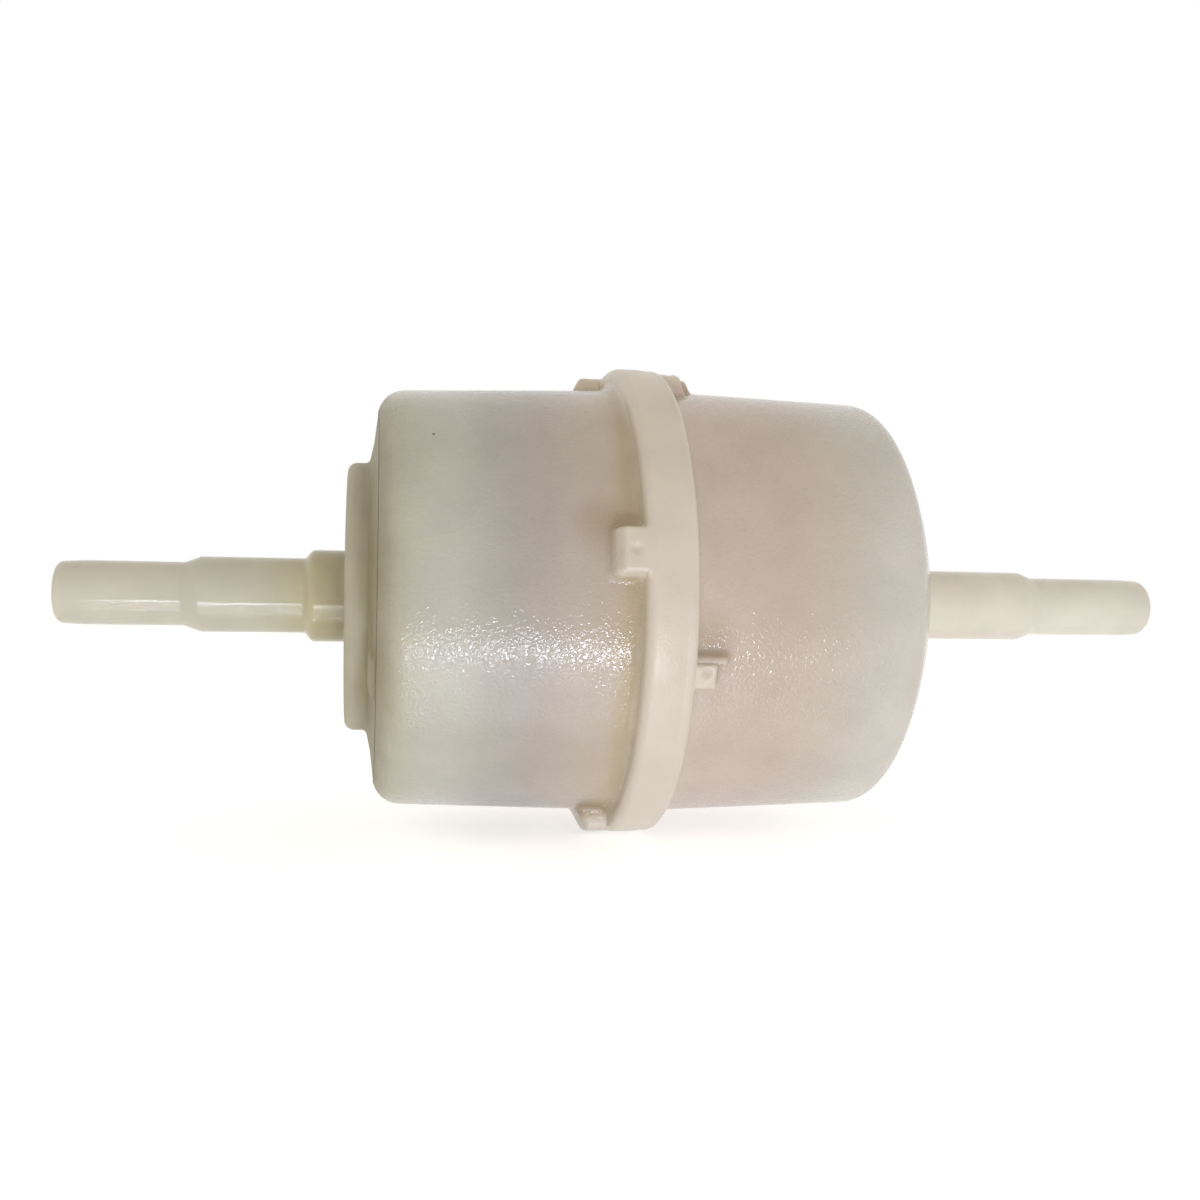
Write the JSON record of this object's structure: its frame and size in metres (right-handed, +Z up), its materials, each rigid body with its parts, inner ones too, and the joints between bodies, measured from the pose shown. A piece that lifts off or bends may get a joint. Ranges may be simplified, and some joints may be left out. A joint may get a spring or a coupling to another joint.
{
  "type": "in-line fuel filter",
  "caption": "In-line fuel filter: two translucent nylon shells welded at a lugged collar round a pleated paper element, with a stepped hose nipple at each end.",
  "frame": {"origin": "on the flow axis at the collar, one millimetre to the inlet side of the weld face", "axes": "+X along the flow axis towards the outlet, so the inlet nipple is at -X; +Z up; -Y towards the viewer"},
  "size_m": [0.1266, 0.0522, 0.0522],
  "materials": {
    "nylon_inlet": "translucent natural nylon, fine mould grain",
    "nylon_outlet": "translucent natural nylon, fine mould grain",
    "cap_plastic": "plain moulded",
    "seal_rubber": "matt black",
    "potting": "cured adhesive",
    "paper": "resin-treated filter paper",
    "clip_steel": "plain"
  },
  "bodies": {
    "root": {"inlet_shell": "nylon_inlet", "outlet_shell": "nylon_outlet", "closed_end_cap": "cap_plastic", "open_end_cap": "cap_plastic", "outlet_seal": "seal_rubber", "centre_tube": "cap_plastic", "closed_end_potting": "potting", "open_end_potting": "potting", "filter_paper": "paper", "seam_clip": "clip_steel"}
  },
  "joints": []
}
